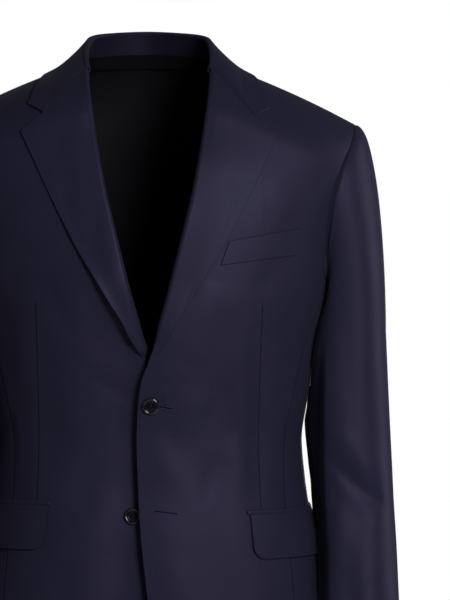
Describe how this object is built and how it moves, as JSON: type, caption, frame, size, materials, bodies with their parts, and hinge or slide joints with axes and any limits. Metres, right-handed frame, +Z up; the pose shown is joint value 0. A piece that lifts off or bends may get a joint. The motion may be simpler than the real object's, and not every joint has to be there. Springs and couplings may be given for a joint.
{
  "type": "suit",
  "caption": "Navy wool suit filled out as worn: notch-lapel jacket fastened by its upper button, breast welt and flap pockets, and plain straight trousers.",
  "frame": {"origin": "midway between the shoulders, level with where the collar's edge crosses the shoulder seams", "axes": "+Z up, -Y to the front, +X to the wearer's left"},
  "size_m": [0.572, 0.2762, 1.5209],
  "materials": {
    "navy_wool": "fine matte twill",
    "navy_button": "polished dark resin"
  },
  "bodies": {
    "root": {"back_left": "navy_wool", "back_right": "navy_wool", "breast_welt": "navy_wool", "button_lower": "navy_button", "button_upper": "navy_button", "collar": "navy_wool", "fly": "navy_wool", "front_left": "navy_wool", "front_right": "navy_wool", "lapel_left": "navy_wool", "lapel_right": "navy_wool", "pocket_flap_left": "navy_wool", "pocket_flap_right": "navy_wool", "pocket_jet_left": "navy_wool", "pocket_jet_right": "navy_wool", "side_left": "navy_wool", "side_right": "navy_wool", "top_sleeve_left": "navy_wool", "top_sleeve_right": "navy_wool", "trouser_back_left": "navy_wool", "trouser_back_right": "navy_wool", "trouser_front_left": "navy_wool", "trouser_front_right": "navy_wool", "under_sleeve_left": "navy_wool", "under_sleeve_right": "navy_wool", "waistband": "navy_wool"}
  },
  "joints": []
}
